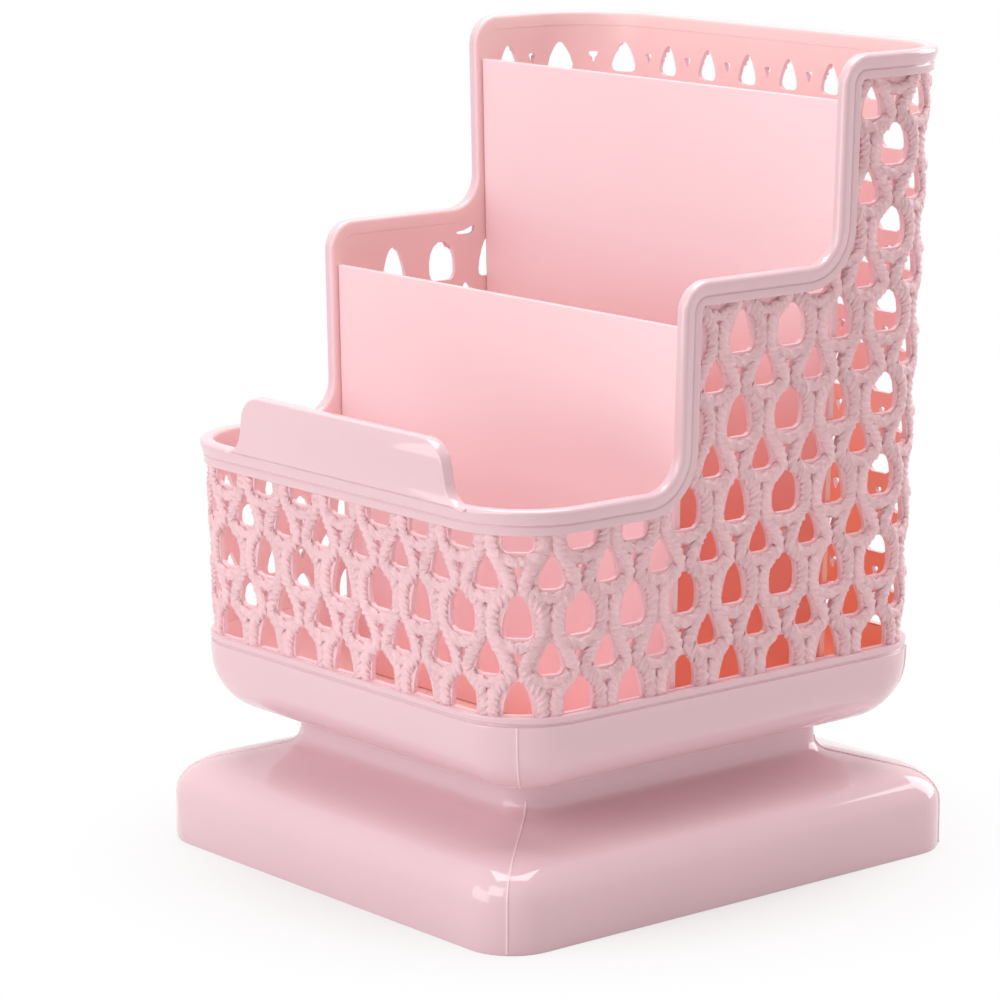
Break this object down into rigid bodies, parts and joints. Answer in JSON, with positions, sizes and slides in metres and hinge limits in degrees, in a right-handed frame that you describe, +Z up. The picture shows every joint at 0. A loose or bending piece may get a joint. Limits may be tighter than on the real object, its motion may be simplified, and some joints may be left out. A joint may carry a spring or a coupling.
{
  "type": "desk organizer",
  "caption": "Tiered desktop storage box: openwork basket with stepped side walls, upright dividers and a label tab on a flared pedestal, for pens and stationery.",
  "frame": {"origin": "on the table, under the middle of the pedestal", "axes": "+Z up, the low front tier with the label tab faces -Y, +X to the right seen from the front"},
  "size_m": [0.1234, 0.1296, 0.1755],
  "materials": {
    "smooth_plastic": "semi-gloss pale pink moulded polypropylene",
    "openwork_plastic": "pale pink polypropylene with a moulded rope texture",
    "divider_plastic": "smooth satin pale pink polypropylene"
  },
  "bodies": {
    "root": {"pedestal": "smooth_plastic", "tub": "smooth_plastic", "rim": "smooth_plastic", "front_wall": "openwork_plastic", "right_wall": "openwork_plastic", "left_wall": "openwork_plastic", "rear_wall": "openwork_plastic", "middle_divider": "divider_plastic", "rear_divider": "divider_plastic"}
  },
  "joints": []
}
